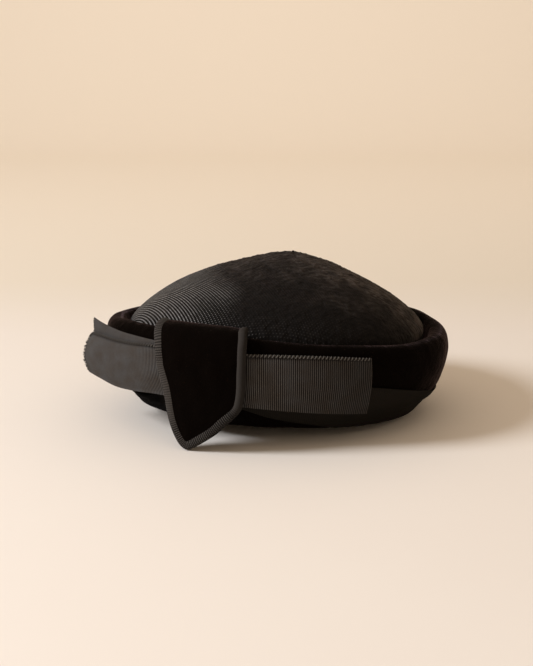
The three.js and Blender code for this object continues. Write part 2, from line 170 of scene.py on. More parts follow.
# Its outline laid flat: distance from the end in the groove, and how far to the side it is.
TAB_LEFT_EDGE = [
    (0.4, -34.0),
    (8, -33.4),
    (20, -31.8),
    (28.5, -28.5),
    (36.3, -26.9),
    (44.3, -25.6),
    (50.5, -23.5),
    (57.5, -21.1),
    (64, -19.7),
    (72, -18.3),
    (79.2, -16.4),
    (84.7, -14.1),
    (90.1, -11.0),
    (93.7, -8.0),
]
TAB_RIGHT_EDGE = [
    (0.4, 26.8),
    (6, 29),
    (12.3, 31.2),
    (21.7, 35.0),
    (29.9, 36.2),
    (45.8, 36.1),
    (53.9, 35.8),
    (60.4, 35.0),
    (66.1, 33.5),
    (69.5, 31.4),
    (73.1, 28),
    (77.6, 23.3),
    (83, 17.9),
    (86.8, 12.9),
    (90.8, 6.9),
    (93.9, 2.0),
]
TAB_TIP = (95.9, -3.4)
TAB_CORNER, TAB_BEND = 72, 86  # how far down its right and left edges turn in to the tip
BINDING_WIDTH, BINDING, GAP = 6.2, 0.8, 0.3  # the fold's width and thickness, and air inside it

# Spacings of ribs and threads.  Two are drawn coarser than the real ones, which are too fine to
# show: the binding's ribs, really about 1.1 mm apart, and the straw's crossing threads, really
# about 1.6 mm.
RIBBON_RIB = 1.33  # from rib to rib of the wide ribbons
BINDING_RIB = 1.5  # from rib to rib of the narrow binding ribbon
THREAD = 1.9  # from one raised thread of the straw cloth to the next
BEAD = 1.75  # from one of its crossing threads to the next
WEAVE_TURN = 24  # degrees: the raised threads follow one another in this direction
WEAVE_PIVOT = -53  # the threads keep their spacing this far in front of the middle
WEAVE_FAN = 9.5  # degrees more that blocking turned the threads in the crown's middle
FAN_IN, FAN_OUT = (-98, 62), (20, 70)  # where across the weave it sets in and ends, how slowly


# ---- sums ---------------------------------------------------------------------------------


def lerp(a, b, part):
    """The value a `part` of the way from a to b."""
    return a + (b - a) * part


def smooth_weights(knots, places):
    """Weights that run a smooth curve through values at `knots`, read at `places`."""
    knots, places = np.asarray(knots, float), np.asarray(places, float)
    steps = np.diff(knots)
    slopes = np.zeros((len(knots), len(knots)))
    for i in range(len(knots)):
        before, after = max(i - 1, 0), min(i + 1, len(knots) - 1)
        if before == i or after == i:
            slopes[i, after] = 1 / (knots[after] - knots[before])
            slopes[i, before] = -slopes[i, after]
            continue
        left, right = steps[before], steps[i]
        slopes[i, before] += -right / left / (left + right)
        slopes[i, i] += right / left / (left + right) - left / right / (left + right)
        slopes[i, after] += left / right / (left + right)
    span = np.clip(np.searchsorted(knots, places, side="right") - 1, 0, len(steps) - 1)
    part = ((places - knots[span]) / steps[span])[:, None]
    values = np.eye(len(knots))
    width = steps[span][:, None]
    return (
        (2 * part**3 - 3 * part**2 + 1) * values[span]
        + (part**3 - 2 * part**2 + part) * width * slopes[span]
        + (3 * part**2 - 2 * part**3) * values[span + 1]
        + (part**3 - part**2) * width * slopes[span + 1]
    )


def ease(values, start, width):
    """Runs smoothly from 0 at `start` to 1 over a `width`."""
    part = np.clip((values - start) / width, 0, 1)
    return part * part * (3 - 2 * part)


def ramp(values, start, width):
    """Runs straight from 0 at `start` to 1 over a `width`."""
    return np.clip((values - start) / width, 0, 1)


def bell(values, middle, width):
    """1 at the middle, and nearly 0 from two widths on."""
    return np.exp(-(((values - middle) / width) ** 2))


def uneven(points, wavelength, seed, waves=10):
    """A smooth random value for each point, about -1 to 1, that changes over `wavelength` mm."""
    rng = np.random.default_rng(seed)
    total = np.zeros(points.shape[:-1])
    for _ in range(waves):
        direction = rng.normal(size=3)
        direction /= np.linalg.norm(direction)
        turns = rng.uniform(0.7, 1.4) / wavelength
        total += np.sin(2 * np.pi * (turns * (points @ direction) + rng.uniform()))
    return total / math.sqrt(waves)


def warp(angle):
    """How far the rim rises out of its plane."""
    return WARP_SIN * np.sin(2 * angle) + WARP_COS * np.cos(2 * angle)


def rim_height(angle):
    """Height of the brim's top ring."""
    x, y = RIM_HALF_X * np.cos(angle), RIM_HALF_Y * np.sin(angle)
    return RIM_HEIGHT + LEAN_X * x + LEAN_Y * y + warp(angle)


def foot_height(angle):
    """Height of the foot's ring, which lies on the table for part of the way round."""
    x = FOOT_SHARE * RIM_HALF_X * np.cos(angle)
    y = FOOT_SHARE * RIM_HALF_Y * np.sin(angle)
    return np.maximum(0, FOOT_HEIGHT + LEAN_X * x + LEAN_Y * y)


def row_height(angle, row):
    """Height of a section's row."""
    return rim_height(angle) - row[2] if row[1] == "drop" else foot_height(angle) + row[2]


def hat_point(angle, out, z):
    """Points at a distance outside the rim's ring and at a height."""
    x, y = (RIM_HALF_X + out) * np.cos(angle), (RIM_HALF_Y + out) * np.sin(angle)
    return np.stack(np.broadcast_arrays(x, y, z), -1)


def normals_of(points):
    """Unit normals of a grid of points, from its neighbours."""
    across = np.cross(np.gradient(points, axis=0), np.gradient(points, axis=1))
    return across / np.maximum(np.linalg.norm(across, axis=-1, keepdims=True), 1e-12)


def lengths_along(points):
    """Distance from the first point to each point of a line."""
    steps = np.linalg.norm(np.diff(points, axis=0), axis=-1)
    return np.concatenate([[0], np.cumsum(steps)])


def ribs(along, pitch):
    """Height of rounded ribs, 0 in the grooves between them and 1 on top."""
    return np.abs(np.sin(np.pi * along / pitch)) ** 0.7


# ---- mesh building ------------------------------------------------------------------------


# The shade layer is painted shade on the ribbons and binding, dust with a painted sheen on the
# straw, and black on the band's left.
LAYERS = ("wear", "shade", "beads")  # worn smooth, gone to the other colour, broken into beads
JOIN = 1e-7  # points nearer than this become one, in metres


class Shape:
    """Collects grids of points into one mesh.  Each point carries its place on the cloth and a
    value from 0 to 1 for each layer that its material reads."""

    def __init__(self):
        self.points, self.faces, self.cloth, self.count = [], [], [], 0
        self.layers = {layer: [] for layer in LAYERS}

    def grid(self, points, cloth, close_rows=False, close_columns=False, **layers):
        rows, columns = points.shape[:2]
        index = np.arange(rows * columns).reshape(rows, columns) + self.count
        if close_rows:
            index = np.vstack([index, index[:1]])
        if close_columns:
            index = np.hstack([index, index[:, :1]])
        corners = [index[:-1, :-1], index[1:, :-1], index[1:, 1:], index[:-1, 1:]]
        self.points.append(points.reshape(-1, 3))
        self.faces.append(np.stack(corners, -1).reshape(-1, 4))
        self.cloth.append(np.broadcast_to(cloth, points.shape[:2] + (2,)).reshape(-1, 2))
        for layer, values in self.layers.items():
            values.append(np.broadcast_to(layers.get(layer, 0.0), points.shape[:2]).reshape(-1))
        self.count += rows * columns

    def tube(self, line, radius, sides=6, cloth=(0, 0), **layers):
        """A round thread along a line of points, tapered to nothing at both ends."""
        line = np.asarray(line, float)
        along = np.gradient(line, axis=0)
        along /= np.maximum(np.linalg.norm(along, axis=1, keepdims=True), 1e-9)
        helper = np.array([0.0, 0.0, 1.0]) if abs(along[0, 2]) < 0.8 else np.array([1.0, 0, 0])
        side = np.cross(along, helper)
        side /= np.linalg.norm(side, axis=1, keepdims=True)
        up = np.cross(side, along)
        turn = np.linspace(0, 2 * np.pi, sides, endpoint=False)
        reach = radius * np.ones(len(line))
        reach[0] = reach[-1] = 0.05 * radius
        ring = np.cos(turn)[:, None] * side[:, None] + np.sin(turn)[:, None] * up[:, None]
        rings = line[:, None] + reach[:, None, None] * ring
        self.grid(rings, cloth, close_columns=True, **layers)

    def piece(self, name, material):
        """Makes the mesh, in metres, on the CAD's axis, with its grids' shared edges joined."""
        points = (np.vstack(self.points) + AXIS) * MM
        mesh = bpy.data.meshes.new(name)
        faces = np.vstack(self.faces)
        mesh.from_pydata(points.tolist(), [], faces.tolist())
        mesh.validate()
        cloth = mesh.uv_layers.new(name="cloth")
        corners = np.zeros(len(mesh.loops), np.int32)
        mesh.loops.foreach_get("vertex_index", corners)
        cloth.data.foreach_set("uv", (np.vstack(self.cloth)[corners] * MM).ravel())
        for layer, values in self.layers.items():
            written = mesh.attributes.new(layer, "FLOAT", "POINT")
            written.data.foreach_set("value", np.concatenate(values).astype(np.float32))
        joined = bmesh.new()
        joined.from_mesh(mesh)
        bmesh.ops.remove_doubles(joined, verts=joined.verts, dist=JOIN)
        joined.to_mesh(mesh)
        joined.free()
        mesh.shade_smooth()
        mesh.materials.append(material)
        made = bpy.data.objects.new(name, mesh)
        bpy.context.scene.collection.objects.link(made)
        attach(made, "root")
        return made


# The hat's axis stands in the middle of the brim.
low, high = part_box("brim")
AXIS = np.array([(low.x + high.x) / 2, (low.y + high.y) / 2, 0]) / MM


# ---- materials ----------------------------------------------------------------------------


def linear(colour):
    """A hex colour as linear RGBA."""
    parts = [int(colour[i : i + 2], 16) / 255 for i in (1, 3, 5)]
    return [c / 12.92 if c <= 0.04045 else ((c + 0.055) / 1.055) ** 2.4 for c in parts] + [1]


def add(tree, kind, inputs=None, **settings):
    """Adds a node, links or sets its inputs, and returns it."""
    node = tree.nodes.new(kind)
    for name, value in settings.items():
        setattr(node, name, value)
    for key, value in (inputs or {}).items():
        if isinstance(value, bpy.types.NodeSocket):
            tree.links.new(value, node.inputs[key])
        else:
            node.inputs[key].default_value = value
    return node


def new_material(name, **shader):
    """A material with its shader's plain numbers set, and the parts that its nodes use."""
    material = bpy.data.materials.new(name)
    material.use_nodes = True
    tree = material.node_tree
    bsdf = tree.nodes["Principled BSDF"]
    for key, value in shader.items():
        bsdf.inputs[key.replace("_", " ")].default_value = value
    return material, tree, bsdf


def maths(tree, operation, *values, clamp=False):
    """The result of a sum, kept between 0 and 1 if it is clamped."""
    inputs = dict(enumerate(values))
    return add(tree, "ShaderNodeMath", inputs, operation=operation, use_clamp=clamp).outputs[0]


def times(tree, first, second, clamp=False):
    return maths(tree, "MULTIPLY", first, second, clamp=clamp)


def scaled(tree, value, factor, plus, clamp=False):
    return maths(tree, "MULTIPLY_ADD", value, factor, plus, clamp=clamp)


def mix(tree, part, first, second):
    """A colour a `part` of the way from the first to the second."""
    # The node's colours are its inputs 6 and 7 and its output 2.
    node = add(tree, "ShaderNodeMix", {0: part, 6: first, 7: second}, data_type="RGBA")
    return node.outputs[2]


def noise(tree, place, scale, detail):
    """Random values round 0.5 that change over about 1 / `scale` of the place's unit."""
    inputs = {"Vector": place, "Scale": scale, "Detail": detail}
    return add(tree, "ShaderNodeTexNoise", inputs).outputs[0]


def stretched(tree, place, across, along):
    """A place whose patterns come out longer where its factors are below 1."""
    inputs = {0: place, 1: (across, along, 1.0)}
    return add(tree, "ShaderNodeVectorMath", inputs, operation="MULTIPLY").outputs[0]


def object_place(tree):
    """The place in the piece's own metres."""
    return add(tree, "ShaderNodeTexCoord").outputs["Object"]


def cloth_place(tree):
    """The place on the cloth in millimetres, whole and as its two measures."""
    place = add(tree, "ShaderNodeUVMap", uv_map="cloth").outputs[0]
    place = add(tree, "ShaderNodeVectorMath", {0: place, 3: 1 / MM}, operation="SCALE").outputs[0]
    split = add(tree, "ShaderNodeSeparateXYZ", {0: place})
    return place, split.outputs[0], split.outputs[1]


def layer_values(tree):
    """The values of the three LAYERS."""
    return [
        add(tree, "ShaderNodeAttribute", attribute_name=layer).outputs["Fac"] for layer in LAYERS
    ]


def weave(tree, across, along, spacing, crossing):
    """Heights from 0 to 1 of a weave's raised threads and of the threads that cross them, which
    step on by half their spacing from one raised thread to the next."""
    raised = maths(tree, "ABSOLUTE", maths(tree, "SINE", times(tree, across, np.pi / spacing)))
    row = maths(tree, "FLOOR", maths(tree, "DIVIDE", across, spacing))
    turn = scaled(tree, along, np.pi / crossing, times(tree, row, np.pi / 2))
    return raised, maths(tree, "ABSOLUTE", maths(tree, "SINE", turn))


def link_surface(tree, bsdf, colour, height, distance, **bump):
    """Gives a shader its colour and its relief; the distance is in metres."""
    relief = add(tree, "ShaderNodeBump", {"Height": height, "Distance": distance, **bump})
    tree.links.new(colour, bsdf.inputs["Base Color"])
    tree.links.new(relief.outputs[0], bsdf.inputs["Normal"])


def straw_cloth():
    """Fine black straw threads in a plain weave, their tops painted light as a painted highlight
    and the gaps between them painted black as painted shade.  The threads stand up crisp and grey
    on the left; elsewhere they are worn flat, nearly black, with small dents, painted highlights on
    the crests of creases, and brown dust that is partly a painted sheen."""
    material, tree, bsdf = new_material(
        "straw cloth",
        Specular_IOR_Level=0.05,
        Sheen_Weight=0.015,
        Sheen_Roughness=0.35,
        Sheen_Tint=linear("#b08f70"),
    )
    place, across, along = cloth_place(tree)
    worn, dust_and_sheen, beads = layer_values(tree)
    crisp = maths(tree, "SUBTRACT", 1.0, worn)
    patches = noise(tree, place, 0.06, 4.0)
    dents = noise(tree, place, 0.3, 3.0)
    fibre = noise(tree, place, 1.3, 4.0)
    creases = noise(tree, stretched(tree, place, 0.34, 0.8), 0.5, 3.0)

    # The raised threads' tops are painted light, a painted highlight, some more than others; the
    # gaps between them are painted black, a painted shade.
    raised, over = weave(tree, across, along, THREAD, BEAD)
    dip = times(tree, scaled(tree, beads, 0.62, 0.12), over)
    height = times(tree, raised, maths(tree, "SUBTRACT", 1.0, dip))
    crest = times(tree, maths(tree, "POWER", height, 7.0), scaled(tree, creases, 2.6, -0.25))
    tone = times(tree, crest, scaled(tree, fibre, 1.6, 0.3), clamp=True)
    felted = scaled(tree, patches, 3.0, -1.1, clamp=True)
    felted = mix(tree, felted, linear("#1b1a19"), linear("#2b2220"))
    # Beaded crests are painted lighter still: a painted glint on the floats.
    crest_highlight = mix(tree, beads, linear("#868483"), linear("#b4b2b0"))
    gap = mix(tree, worn, linear("#000000"), linear("#0f0d0c"))
    woven = mix(tree, tone, gap, mix(tree, crisp, felted, crest_highlight))

    # Where the cloth is worn, the crests of its creases are painted grey, a painted highlight that
    # is strongest on top, and brown dust lies that is partly a painted sheen along the ridge.
    painted_tip_highlight = times(tree, scaled(tree, creases, 4.2, -1.75, clamp=True), worn)
    painted_tip_highlight = times(tree, painted_tip_highlight, scaled(tree, dust_and_sheen, 1.0, 0.03))
    settled_dust_and_sheen = times(tree, dust_and_sheen, scaled(tree, dents, 1.8, -0.45, clamp=True))
    colour = mix(tree, painted_tip_highlight, woven, linear("#55504e"))
    colour = mix(tree, settled_dust_and_sheen, colour, linear("#4c423b"))

    # The relief is of threads where the cloth is crisp, and of creases and dents where it is worn.
    threads = times(tree, height, scaled(tree, crisp, 0.8, 0.2))
    creased = scaled(tree, creases, times(tree, worn, 1.8), threads)
    rough = scaled(tree, fibre, 0.3, times(tree, worn, scaled(tree, dust_and_sheen, 3.0, 3.0)))
    link_surface(tree, bsdf, colour, scaled(tree, dents, rough, creased), 0.0005)
    tree.links.new(scaled(tree, worn, 0.3, 0.5), bsdf.inputs["Roughness"])
    return material


def velvet():
    """Black silk velvet: a deep pile that only shines brown-purple where it turns away."""
    material, tree, bsdf = new_material(
        "black silk velvet",
        Roughness=0.95,
        Specular_IOR_Level=0.03,
        Sheen_Weight=0.4,
        Sheen_Roughness=0.2,
        Sheen_Tint=linear("#9f8485"),
    )
    place = object_place(tree)
    brushed = noise(tree, place, 85.0, 4.0)
    pile = noise(tree, place, 1400.0, 2.0)  # drawn coarser than real pile, too fine to show
    colour = mix(tree, brushed, linear("#030100"), linear("#070301"))
    link_surface(tree, bsdf, colour, scaled(tree, brushed, 6.0, pile), 0.0003, Strength=0.8)
    return material


def grosgrain(name, spacing, dark, light, faded, **shader):
    """Ribbed ribbon: grey-black silk over cotton ribs, broken into dots by the fine warp, the ribs'
    tops painted light and the grooves between them dark as painted shade.  Where it is worn or
    seen askew the ribs are flat, and where its shade layer is set it goes to black, which on the
    bow and the binding is painted shade."""
    shader = {"Roughness": 0.85, "Specular_IOR_Level": 0.05, **shader}
    material, tree, bsdf = new_material(name, **shader)
    place, along, across = cloth_place(tree)
    worn, shaded, beads = layer_values(tree)
    weft = noise(tree, stretched(tree, place, 0.5, 3.2), 1.2, 3.0)
    patches = scaled(tree, noise(tree, place, 0.09, 3.0), 2.6, -0.8, clamp=True)
    # The ribs' tops are painted light and the grooves between them dark, a painted shade.
    rib, over = weave(tree, along, across, spacing, spacing)
    dots = scaled(tree, times(tree, over, beads), -0.7, 1.15)
    thread = times(tree, maths(tree, "POWER", rib, 2.4), dots)
    worn_tone = (0.62, 0.62, 0.62, 1.0)
    flat = mix(tree, worn, thread, worn_tone)
    tone = times(tree, flat, scaled(tree, weft, 0.8, 0.6), clamp=True)
    dyed = mix(tree, patches, linear(light), linear(faded))
    colour = mix(tree, tone, linear(dark), dyed)
    # Goes to black where the shade layer is set: painted shade on the bow and the binding.
    colour = mix(tree, shaded, colour, linear("#030202"))
    link_surface(tree, bsdf, colour, weft, 0.0001)
    return material


def paper():
    """Warm matt paper sweep that the hat stands on, a little darker and yellower behind it: painted
    shade where less light reaches.
    """
    material, tree, bsdf = new_material("warm paper", Roughness=0.9, Specular_IOR_Level=0.2)
    place = object_place(tree)
    depth = add(tree, "ShaderNodeSeparateXYZ", {0: place}).outputs[1]
    # Painted shade: the paper goes darker and yellower further back.
    far = scaled(tree, depth, 4.2, -0.92, clamp=True)
    pale = mix(tree, noise(tree, place, 6.0, 3.0), linear("#e8e0d7"), linear("#eae3da"))
    tree.links.new(mix(tree, far, pale, linear("#e5dccd")), bsdf.inputs["Base Color"])
    return material


STRAW_CLOTH = straw_cloth()
VELVET = velvet()
BOW_GROSGRAIN = grosgrain("bow grosgrain", RIBBON_RIB, "#040303", "#555352", "#4e4843")
BAND_GROSGRAIN = grosgrain(
    "faded band grosgrain",
    RIBBON_RIB,
    "#0e0d0b",
    "#201e1b",
    "#24201c",
    Specular_IOR_Level=0.02,
)
STITCH_SILK = grosgrain("stitching silk", RIBBON_RIB, "#2a2725", "#595653", "#53504c")
CUT_THREADS = grosgrain("dark cut threads", RIBBON_RIB, "#0a0807", "#14100e", "#1a1512")
BINDING_GROSGRAIN = grosgrain("binding grosgrain", BINDING_RIB, "#020202", "#55514d", "#514b47")


# ---- straw crown --------------------------------------------------------------------------


def dome_points(x_share, y_share, inset):
    """Points of the dome over places in its ring, given as shares of its half widths."""
    reach, angle = np.hypot(x_share, y_share), np.arctan2(y_share, x_share)
    body = np.maximum(1 - reach**DOME_POINT, 0) ** DOME_SIDE
    x, y = (DOME_HALF_X - inset) * x_share, (DOME_HALF_Y - inset) * y_share
    base = RIM_HEIGHT - DOME_DROP + LEAN_X * x + LEAN_Y * y + warp(angle) * reach**4
    shoulder = LEFT_SHOULDER * 4 * reach**2 * (1 - reach**2)
    z = base + (DOME_RISE - inset) * body - shoulder * np.cos(angle)
    return np.stack([x + APEX_SHIFT * body, y, z], -1)


def dome_reach(points):
    """How far out from the dome's middle points lie, 1 at its ring."""
    return np.hypot(points[..., 0] / DOME_HALF_X, points[..., 1] / DOME_HALF_Y)


def straw_grid(per_thread, along_count):
    """The dome's outer face on lines that follow the cloth's threads."""
    turn = math.radians(WEAVE_TURN)
    step = np.array([math.cos(turn), math.sin(turn)])
    half = np.array([DOME_HALF_X, DOME_HALF_Y])

    # The threads are evenly spaced on the dome itself, along a line over its middle.
    dense = np.linspace(-1, 1, 2001) * np.linalg.norm(half * step) * 0.9995
    surface = lengths_along(dome_points(*(dense[:, None] * step / half).T, 0))
    places = np.arange(surface[-1] * per_thread / THREAD + 1) * THREAD / per_thread
    across = np.interp(places, surface, dense)[:, None]
    fan = ease(across, *FAN_IN) - ease(across, *FAN_OUT)
    turns = turn + math.radians(WEAVE_FAN) * fan
    run = np.concatenate([-np.sin(turns), np.cos(turns)], 1)
    start = across * step + WEAVE_PIVOT * np.array([-step[1], step[0]])

    # Each line ends where it meets the dome's ring.
    square = ((run / half) ** 2).sum(1)[:, None]
    slant = 2 * (start * run / half**2).sum(1)[:, None]
    rest = ((start / half) ** 2).sum(1)[:, None] - 1
    spread = np.sqrt(np.maximum(slant**2 - 4 * square * rest, 0))
    part = np.linspace(0, 1, along_count)[None]
    along = lerp((-slant - spread) / (2 * square), (-slant + spread) / (2 * square), part)
    plan = start[:, None] + along[..., None] * run[:, None]
    points = dome_points(plan[..., 0] / half[0], plan[..., 1] / half[1], 0)
    return points, np.stack(np.broadcast_arrays(places[:, None], along), -1)


def straw_wear(points):
    """How worn flat the straw's threads are: crisp on the left and a little along the front's lip,
    smoothed on top and to the right."""
    edge = points[..., 0] + 0.2 * points[..., 1] + 7 + 7 * uneven(points, 45, 9)
    lip = ease(dome_reach(points), 0.78, 0.16) * (1 - ramp(points[..., 0], 15, 40))
    return ease(edge, -59, 34) * (1 - 0.08 * lip)


def straw_dust_and_sheen(points):
    """Brown dust on top and along the ridge down to the right, partly a painted sheen along the
    ridge and painted light on top.
    """
    across = bell(points[..., 1], -4 - 9 * uneven(points, 30, 6), 32)
    along = 0.4 * ease(points[..., 0], -60, 40) + 0.6 * ease(points[..., 0], 0, 50)
    return np.clip(across * along * (0.75 + 0.3 * uneven(points, 14, 7)), 0, 1)


def add_curls(shape, top):
    """A few curled straw ends on the top of the dome."""
    for k in range(4):
        turn = np.linspace(0, 2.2, 6) + 1.5 * k
        curl = 0.7 * np.stack([np.cos(turn), np.sin(turn)], -1) * np.linspace(1.3, 0.4, 6)[:, None]
        line = np.column_stack([top[:2] + curl, top[2] + np.linspace(-0.5, 0.5, 6)])
        shape.tube(line + (2, 0, 0), 0.35, 5, wear=1.0)  # 2 mm to the right of the top


def crown_rings(around):
    """Rings from the dome's edge down the crown's side, and back up inside it to the top."""
    outside = [hat_point(around, row[0], row_height(around, row)) for row in CROWN_SIDE]
    inside = [hat_point(around, row[0] - STRAW, row_height(around, row)) for row in CROWN_SIDE]
    bowl = [
        dome_points(share * np.cos(around), share * np.sin(around), STRAW)
        for share in (1, 0.93, 0.84, 0.72, 0.58, 0.42, 0.25, 0.1, 0.02)
    ]
    edge = dome_points(np.cos(around), np.sin(around), 0)
    return np.stack([edge, *outside, *inside[::-1], *bowl])


def make_crown():
    """Straw cloth drawn over a block, its raised threads worked into the surface."""
    shape = Shape()
    points, cloth = straw_grid(per_thread=4, along_count=128)
    normals = normals_of(points)
    normals *= np.sign(normals[..., 2:3].mean())
    wear = straw_wear(points)
    reach = dome_reach(points)
    crumpled = 0.08 * uneven(points, 7, 15, 30) + 0.09 * uneven(points, 4, 16, 30)
    crumpled *= 1 + 1.3 * ease(-reach, -0.66, 0.3)
    soft = 0.2 * uneven(points, 38, 5) + wear * crumpled
    thread = ribs(cloth[..., 0], THREAD) * (0.85 + 0.25 * uneven(points, 9, 8))
    raised = points + normals * (soft + (0.3 - 0.22 * wear) * thread - 0.15)[..., None]
    beads = ease(points[..., 0], -64, 28) * (0.1 + 0.9 * ease(reach, 0.64, 0.22) ** 2)
    shape.grid(raised, cloth, wear=wear, shade=straw_dust_and_sheen(points), beads=beads)
    add_curls(shape, points.reshape(-1, 3)[points[..., 2].argmax()])
    around = np.linspace(0, 2 * np.pi, 160, endpoint=False)
    rings = crown_rings(around)
    down = lengths_along(rings[:, 0])
    place = np.stack(np.broadcast_arrays(down[:, None], around[None] * DOME_HALF_X), -1)
    shape.grid(rings, place, close_columns=True, wear=1.0)
    return shape.piece("straw_crown", STRAW_CLOTH)


# ---- velvet brim --------------------------------------------------------------------------


def smooth_rings(rows, around, per_span):
    """Rings of a section's rows, with smooth curves between the rows."""
    rings = np.stack([hat_point(around, row[0], row_height(around, row)) for row in rows])
    knots = lengths_along(rings[:, 0])
    places = np.interp(
        np.arange((len(rows) - 1) * per_span + 1) / per_span, np.arange(len(rows)), knots
    )
    return np.tensordot(smooth_weights(knots, places), rings, 1)


def make_brim():
    """Velvet over buckram, turned up all round and rolled in at the lip."""
    around = np.linspace(0, 2 * np.pi, 240, endpoint=False)
    rows = [*WALL_ROWS, *LINING_ROWS, WALL_ROWS[0]]
    rings = smooth_rings(rows, around, 4)[:-1]
    away = rings.copy()
    away[..., 2] = 0
    away /= np.linalg.norm(away, axis=-1, keepdims=True)
    rings = rings + 0.3 * uneven(rings, 26, 2)[..., None] * away
    rings[..., 2] = np.maximum(rings[..., 2] + 0.25 * uneven(rings, 40, 3), 0.02)
    shape = Shape()
    down = lengths_along(rings[:, 0])
    cloth = np.stack(np.broadcast_arrays(around[None] * RIM_HALF_X, down[:, None]), -1)
    shape.grid(rings, cloth, close_rows=True, close_columns=True)
    return shape.piece("velvet_brim", VELVET)


# ---- band round the foot ------------------------------------------------------------------


def read_table(rows, turns):
    """A table's columns at some angles, along smooth curves."""
    table = np.array(rows, float)
    return (smooth_weights(table[:, 0], turns) @ table[:, 1:]).T


def wall_out(around, z):
    """How far the brim's wall stands outside the rim's ring, at a height."""
    rows = WALL_ROWS[3:][::-1]
    result = np.zeros_like(z)
    for column, angle in enumerate(around):
        heights = [float(row_height(angle, row)) for row in rows]
        result[:, column] = np.interp(z[:, column], heights, [row[0] for row in rows])
    return result


def make_base_band():
    """A grosgrain band sewn round the foot, drawn together in folds behind the bow."""
    turns = np.linspace(-180, 180, 360, endpoint=False)
    around = np.radians(turns)
    drop, lift = read_table(BAND_ROWS, turns)
    top, foot = rim_height(around) - drop, foot_height(around) + np.maximum(lift, 0)
    part = np.linspace(0, 1, 25)[:, None]
    z = lerp(top, foot, part)
    gathered = np.clip(1 - (top - foot) / 22, 0, 1)  # where the band is narrower than 22 mm
    folds = 0.8 * gathered * (1 - np.cos(2 * np.pi * (3 * part + 0.02 * turns))) / 2
    out = wall_out(around, z) + BAND_CLEAR + BAND + folds
    rounded = 0.5 * (np.abs(2 * part - 1) ** 8)  # both edges turn in by 0.5 mm
    outer = hat_point(around, out - rounded, z)
    inner = hat_point(around, wall_out(around, z) + BAND_CLEAR, z)
    down = (part - 0.5) * (top - foot)
    ring = lengths_along(outer[12])
    cloth = np.stack(np.broadcast_arrays(ring[None], down), -1)
    # The band goes black within 42 degrees of the far left.
    blackened = 1 - ramp(180 - np.abs(turns), 42, 8)  # within 42 degrees of the far left
    rings, places = np.concatenate([outer, inner[::-1]]), np.concatenate([cloth, cloth[::-1]])
    shape = Shape()
    shape.grid(rings, places, True, True, wear=0.6, shade=blackened)
    area = float(((top - foot) * np.gradient(ring)).sum())
    return shape.piece("foot_band", BAND_GROSGRAIN), ring[-1], area


# ---- bow ribbons --------------------------------------------------------------------------

RIBBON_WIDTH, RIBBON_THICK = 38.0, 0.5
STITCH = 2.43  # spacing of the slanted stitches over the front ribbon's top edge
EDGE_STEPS = np.array([0, 0.1, 0.25, 0.5, 0.9, 1.4, 2.0, 2.8, 3.6])  # fine steps in from an edge
SEWN_LINE, EDGE_GROOVE, EDGE_CORD = 2.1, 35.6, 37.7  # how far down the ribbon each of them runs


def ribbon_face(rows, turns, parts, stand=0.0):
    """Points of a ribbon's outer face at some angles (rows) and shares of its width."""
    top_out, foot_out, top, foot, bow = (c[:, None] for c in read_table(rows, turns))
    around = np.radians(turns)[:, None]
    parts = np.asarray(parts)[None]
    out = lerp(top_out, foot_out, parts) + bow * np.sin(np.pi * parts) + stand
    return hat_point(around, out, rim_height(around) - lerp(top, foot, parts))


def turns_by_length(rows, spacing):
    """Angles that step evenly along the ribbon, and the distance along it to each of them."""
    dense = np.linspace(rows[0][0], rows[-1][0], 1500)
    length = lengths_along(ribbon_face(rows, dense, [0.5])[:, 0])
    places = np.arange(0, length[-1], spacing)
    return np.interp(places, length, dense), places, length[-1]


def closed_loop(front, back):
    """The rows of a front face with those of its back face, joined into loops round both."""
    return np.concatenate([front, back[:, ::-1]], axis=1)


def make_ribbon(name, rows, *, seed, smooth_before, sewn):
    """A grosgrain ribbon on edge, ribbed across, with its ribs worn flat before an angle, towards
    its raw end.  `sewn` is how dark the painted shade under its stitched top edge is."""
    turns, along, length = turns_by_length(rows, RIBBON_RIB / 6)
    edge = EDGE_STEPS / RIBBON_WIDTH
    parts = np.concatenate([edge, np.linspace(0.14, 0.86, 18), 1 - edge[::-1]])
    face = ribbon_face(rows, turns, parts)
    normals = normals_of(face)
    normals *= np.sign((normals[..., :2] * face[..., :2]).sum(-1).mean())
    wear = ramp(-turns, -smooth_before, 14)[:, None]
    limp = 0.35 * uneven(face, 24, seed) * np.sin(np.pi * parts)[None]
    down = parts * RIBBON_WIDTH
    height = 0.3 * (1 - 0.8 * wear) * ribs(along, RIBBON_RIB)[:, None] - 0.2
    height = height - 0.25 * bell(down, EDGE_GROOVE, 0.4)[None]
    height = height + 0.2 * bell(down, EDGE_CORD, 0.5)[None]
    outer = face + normals * (height + limp)[..., None]
    inner = face + normals * (limp - RIBBON_THICK - height)[..., None]
    cloth = np.stack(np.broadcast_arrays(along[:, None], down[None]), -1)
    # Painted shade in a line under the stitches.
    painted_shade_under_stitches = sewn * bell(down, SEWN_LINE, 0.9)[None] * (1 - 0.35 * wear)
    # Painted shadow of the tab on the ribbon just beside it, and painted shade growing towards the
    # right end, which turns away from the light.
    painted_tab_shadow_and_right_shade = (0.46 * ramp(turns, -100, 36) + 0.6 * bell(turns, -104, 4))[:, None]
    shade = np.broadcast_to(np.maximum(painted_shade_under_stitches, painted_tab_shadow_and_right_shade), face.shape[:2])
    shape = Shape()
    loop, places = closed_loop(outer, inner), closed_loop(cloth, cloth)
    shape.grid(loop, places, close_columns=True, wear=wear, shade=closed_loop(shade, shade))
    for end in (0, -1):
        shape.grid(np.stack([outer[end], inner[end]]), cloth[end])
    return shape.piece(name, BOW_GROSGRAIN), length


